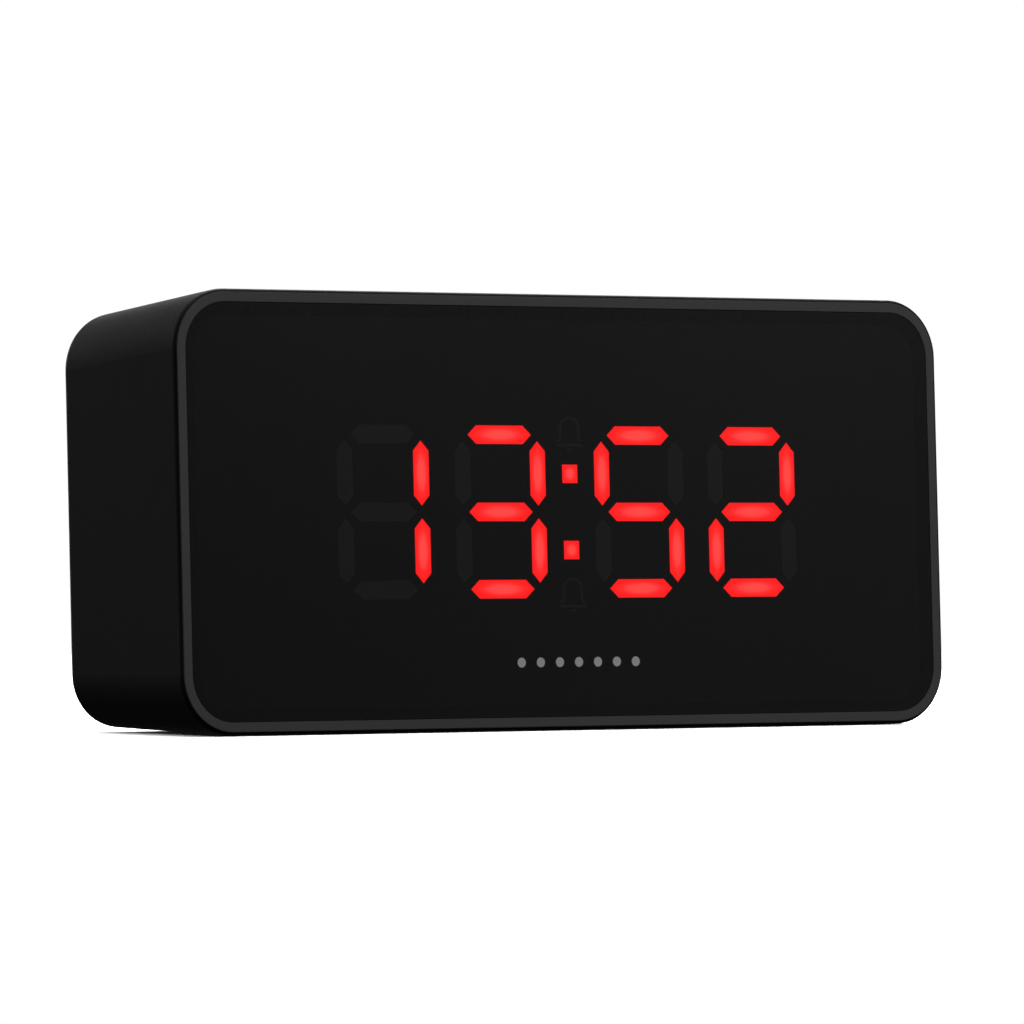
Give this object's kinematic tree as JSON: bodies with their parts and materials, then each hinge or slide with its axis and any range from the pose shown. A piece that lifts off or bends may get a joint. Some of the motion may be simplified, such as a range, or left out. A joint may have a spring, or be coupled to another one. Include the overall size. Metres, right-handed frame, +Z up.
{
  "type": "led alarm clock",
  "caption": "Low rounded-box electronic alarm clock with a smoked front window, red seven-segment display, top snooze bar, rear keys and a hinged battery door.",
  "frame": {"origin": "on the table, under the middle of the clock", "axes": "+Z up, the display faces -Y (leaning back), +X to the right as the display is read"},
  "size_m": [0.16, 0.0428, 0.0754],
  "materials": {
    "case_black": "fine matt moulded black",
    "cover_black": "fine spark-eroded texture",
    "key_black": "satin moulded black",
    "bezel_grey": "satin dark grey",
    "window_smoke": "polished smoked acrylic",
    "adhesive": "foam tape",
    "reflector_black": "matt black moulding",
    "led_red": "lit diffuser",
    "led_off": "unlit diffuser",
    "led_chip": "potted chip",
    "board_green": "solder mask",
    "screw_steel": "zinc plated",
    "screw_black": "blackened steel",
    "chip_black": "epoxy",
    "can_steel": "drawn can",
    "cap_sleeve": "sleeved can",
    "socket_white": "nylon",
    "ribbon_grey": "PVC",
    "lead_red": "PVC insulation",
    "switch_body": "glass-filled nylon",
    "switch_stem": "acetal",
    "jack_black": "glass-filled nylon",
    "contact_plate": "nickel plated",
    "cell_wrap": "plain printed sleeve",
    "foot_rubber": "matt"
  },
  "bodies": {
    "clock": {"alarm_icon_windows": "led_off", "backup_cells": "cell_wrap", "battery_leads": "lead_red", "battery_plates": "contact_plate", "battery_springs": "contact_plate", "board_resistors": "chip_black", "board_ribbon": "ribbon_grey", "button_switches": "switch_body", "buzzer": "chip_black", "capacitors": "cap_sleeve", "case_screws": "screw_black", "case_shell": "case_black", "clock_chip": "chip_black", "colon_dots": "led_red", "display_board": "board_green", "display_board_screws": "screw_steel", "display_driver": "chip_black", "display_reflector": "reflector_black", "display_resistors": "chip_black", "display_shroud": "reflector_black", "display_window": "window_smoke", "front_bezel": "bezel_grey", "led_chips": "led_chip", "main_board": "board_green", "main_board_screws": "screw_steel", "power_jack": "jack_black", "power_jack_pin": "contact_plate", "quartz_crystal": "can_steel", "rear_cover": "cover_black", "regulator": "chip_black", "ribbon_sockets": "socket_white", "rubber_feet": "foot_rubber", "segments_lit": "led_red", "segments_unlit": "led_off", "slide_switches": "switch_body", "snooze_board": "board_green", "snooze_board_screws": "screw_steel", "snooze_leads": "lead_red", "snooze_switch": "switch_body", "window_adhesive": "adhesive"},
    "time_key": {"time_button": "key_black", "time_switch_plunger": "switch_stem"},
    "alarm_key": {"alarm_button": "key_black", "alarm_switch_plunger": "switch_stem"},
    "hour_key": {"hour_button": "key_black", "hour_switch_plunger": "switch_stem"},
    "minute_key": {"minute_button": "key_black", "minute_switch_plunger": "switch_stem"},
    "snooze_key": {"snooze_bar": "key_black", "snooze_switch_plunger": "switch_stem"},
    "alarm_slider": {"alarm_switch_knob": "key_black"},
    "dimmer_slider": {"dimmer_switch_knob": "key_black"},
    "battery_flap": {"battery_door": "cover_black"}
  },
  "joints": [
    {"name": "time_button_press", "type": "slide", "parent": "clock", "child": "time_key", "axis": [0, -0.9991, 0.0424], "range_m": [0, 0.0005], "stiffness_N_per_m": 800, "springref_m": -0.0005},
    {"name": "alarm_button_press", "type": "slide", "parent": "clock", "child": "alarm_key", "axis": [0, -0.9991, 0.0424], "range_m": [0, 0.0005], "stiffness_N_per_m": 800, "springref_m": -0.0005},
    {"name": "hour_button_press", "type": "slide", "parent": "clock", "child": "hour_key", "axis": [0, -0.9991, 0.0424], "range_m": [0, 0.0005], "stiffness_N_per_m": 800, "springref_m": -0.0005},
    {"name": "minute_button_press", "type": "slide", "parent": "clock", "child": "minute_key", "axis": [0, -0.9991, 0.0424], "range_m": [0, 0.0005], "stiffness_N_per_m": 800, "springref_m": -0.0005},
    {"name": "snooze_press", "type": "slide", "parent": "clock", "child": "snooze_key", "axis": [0, -0.0925, -0.9957], "range_m": [0, 0.0006], "stiffness_N_per_m": 1000, "springref_m": -0.0006},
    {"name": "alarm_switch_slide", "type": "slide", "parent": "clock", "child": "alarm_slider", "axis": [1, 0, 0], "range_m": [0, 0.004]},
    {"name": "dimmer_switch_slide", "type": "slide", "parent": "clock", "child": "dimmer_slider", "axis": [1, 0, 0], "range_m": [0, 0.004]},
    {"name": "battery_door_hinge", "type": "hinge", "parent": "clock", "child": "battery_flap", "pos_m": [-0.03575, 0.01662, 0.00724], "axis": [-1, 0, 0], "range_deg": [0, 100]}
  ]
}
